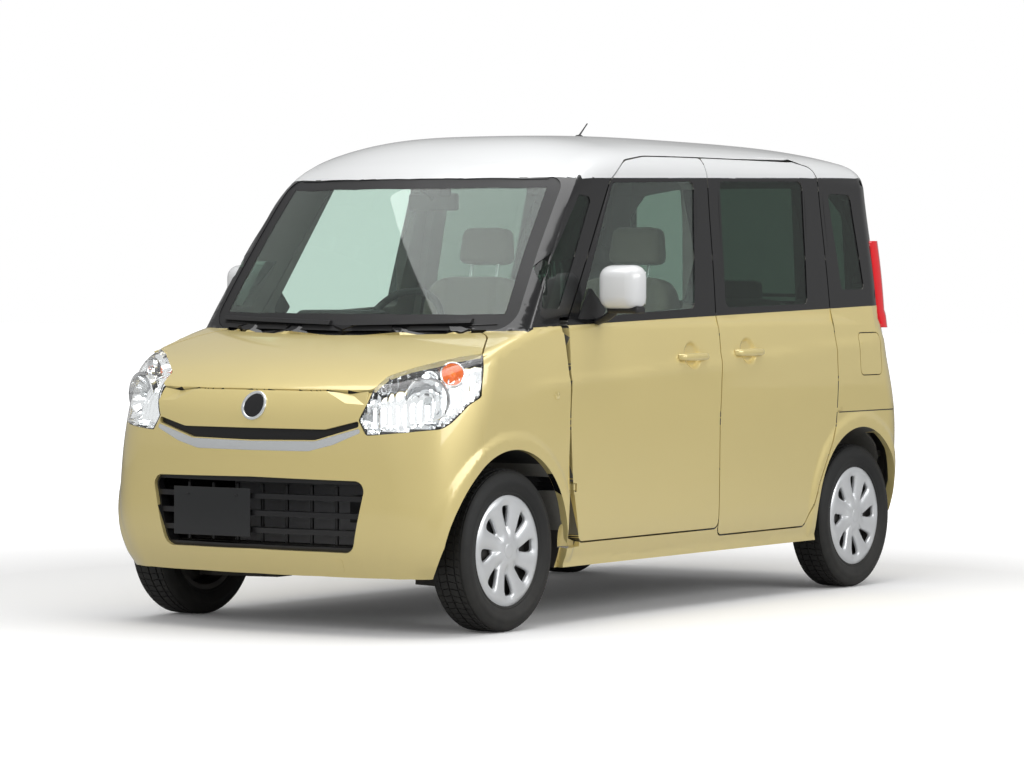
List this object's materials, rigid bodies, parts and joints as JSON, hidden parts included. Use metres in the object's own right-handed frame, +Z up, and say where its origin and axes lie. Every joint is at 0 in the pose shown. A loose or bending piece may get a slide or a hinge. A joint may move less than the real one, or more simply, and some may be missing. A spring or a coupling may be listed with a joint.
{
  "type": "kei car",
  "caption": "Tall-wagon kei car in pale gold with a white roof, rear sliding doors and hinged front doors, bonnet and tailgate.",
  "frame": {"origin": "centre of the bounding box at the ground", "axes": "+X forward, +Y to the car's left, +Z up"},
  "size_m": [3.3862, 1.824, 1.735],
  "materials": {
    "body_paint": "metallic",
    "white_paint": "gloss",
    "black_trim": "satin",
    "clear_glass": "polished",
    "dark_glass": "polished",
    "bright_trim": "polished",
    "lamp_clear": "polished",
    "lamp_red": "polished",
    "tyre_rubber": "matte",
    "wheel_silver": "metallic",
    "chassis_black": "satin",
    "cast_block": "matte",
    "pipe_steel": "satin",
    "seat_fabric": "matte",
    "cabin_grey": "satin",
    "tank_black": "matte"
  },
  "bodies": {
    "body": {"side_frames": "body_paint", "floor_pan": "body_paint", "front_frame": "body_paint", "tail_panel": "body_paint", "roof_frame": "body_paint", "roof_panel": "white_paint", "front_wings": "body_paint", "front_bumper": "body_paint", "chrome_bar": "bright_trim", "grilles": "black_trim", "headlamps": "lamp_clear", "tail_lamps": "lamp_red", "rear_bumper": "body_paint", "sliding_door_left": "body_paint", "sliding_door_right": "body_paint", "side_glass": "dark_glass", "windscreen": "clear_glass", "front_subframe": "chassis_black", "rear_axle": "chassis_black", "engine": "cast_block", "fuel_tank": "tank_black", "exhaust": "pipe_steel", "front_seats": "seat_fabric", "rear_seat": "seat_fabric", "dashboard": "cabin_grey", "front_wipers": "black_trim"},
    "bonnet_lid": {"bonnet": "body_paint"},
    "door_left": {"front_door_left": "body_paint", "front_door_glass_left": "clear_glass", "mirror_left": "white_paint"},
    "door_right": {"front_door_right": "body_paint", "front_door_glass_right": "clear_glass", "mirror_right": "white_paint"},
    "tail_door": {"tailgate": "body_paint", "tailgate_glass": "dark_glass", "rear_wiper": "black_trim"},
    "filler_lid": {"fuel_lid": "body_paint"},
    "hub_left": {"knuckle_left": "chassis_black"},
    "hub_right": {"knuckle_right": "chassis_black"},
    "steering": {"steering_wheel": "cabin_grey"},
    "road_wheel_front_left": {"wheel_front_left": "wheel_silver", "tyre_front_left": "tyre_rubber"},
    "road_wheel_front_right": {"wheel_front_right": "wheel_silver", "tyre_front_right": "tyre_rubber"},
    "road_wheel_rear_left": {"wheel_rear_left": "wheel_silver", "tyre_rear_left": "tyre_rubber"},
    "road_wheel_rear_right": {"wheel_rear_right": "wheel_silver", "tyre_rear_right": "tyre_rubber"}
  },
  "joints": [
    {"name": "steer_left", "type": "hinge", "parent": "body", "child": "hub_left", "pos_m": [1.19, 0.548, 0.4625], "axis": [0, -0.1593, 0.9872], "range_deg": [-35, 35]},
    {"name": "steer_right", "type": "hinge", "parent": "body", "child": "hub_right", "pos_m": [1.19, -0.548, 0.4625], "axis": [0, 0.1593, 0.9872], "range_deg": [-35, 35]},
    {"name": "steering_turn", "type": "hinge", "parent": "body", "child": "steering", "pos_m": [0.33, -0.345, 1.003], "axis": [-0.8829, 0, 0.4695], "range_deg": [-560, 560]},
    {"name": "spin_front_left", "type": "hinge", "parent": "hub_left", "child": "road_wheel_front_left", "pos_m": [1.19, 0.6475, 0.2785], "axis": [0, 1, 0], "continuous": true},
    {"name": "spin_front_right", "type": "hinge", "parent": "hub_right", "child": "road_wheel_front_right", "pos_m": [1.19, -0.6475, 0.2785], "axis": [0, 1, 0], "continuous": true},
    {"name": "spin_rear_left", "type": "hinge", "parent": "body", "child": "road_wheel_rear_left", "pos_m": [-1.235, 0.645, 0.2785], "axis": [0, 1, 0], "continuous": true},
    {"name": "spin_rear_right", "type": "hinge", "parent": "body", "child": "road_wheel_rear_right", "pos_m": [-1.235, -0.645, 0.2785], "axis": [0, 1, 0], "continuous": true},
    {"name": "door_left_swing", "type": "hinge", "parent": "body", "child": "door_left", "pos_m": [0.803, 0.715, 0.64], "axis": [0, 0, -1], "range_deg": [0, 65]},
    {"name": "door_right_swing", "type": "hinge", "parent": "body", "child": "door_right", "pos_m": [0.803, -0.715, 0.64], "axis": [0, 0, 1], "range_deg": [0, 65]},
    {"name": "tailgate_lift", "type": "hinge", "parent": "body", "child": "tail_door", "pos_m": [-1.468, 0, 1.68], "axis": [0, 1, 0], "range_deg": [0, 80]},
    {"name": "bonnet_lift", "type": "hinge", "parent": "body", "child": "bonnet_lid", "pos_m": [1.112, 0, 1.012], "axis": [0, -1, 0], "range_deg": [0, 50]},
    {"name": "fuel_lid_swing", "type": "hinge", "parent": "body", "child": "filler_lid", "pos_m": [-1.243, 0.7275, 0.909], "axis": [0, 0.0995, -0.995], "range_deg": [0, 90]}
  ],
  "couplings": [
    {"joint": "steer_right", "follows": "steer_left", "ratio": 1},
    {"joint": "steering_turn", "follows": "steer_left", "ratio": 16}
  ]
}
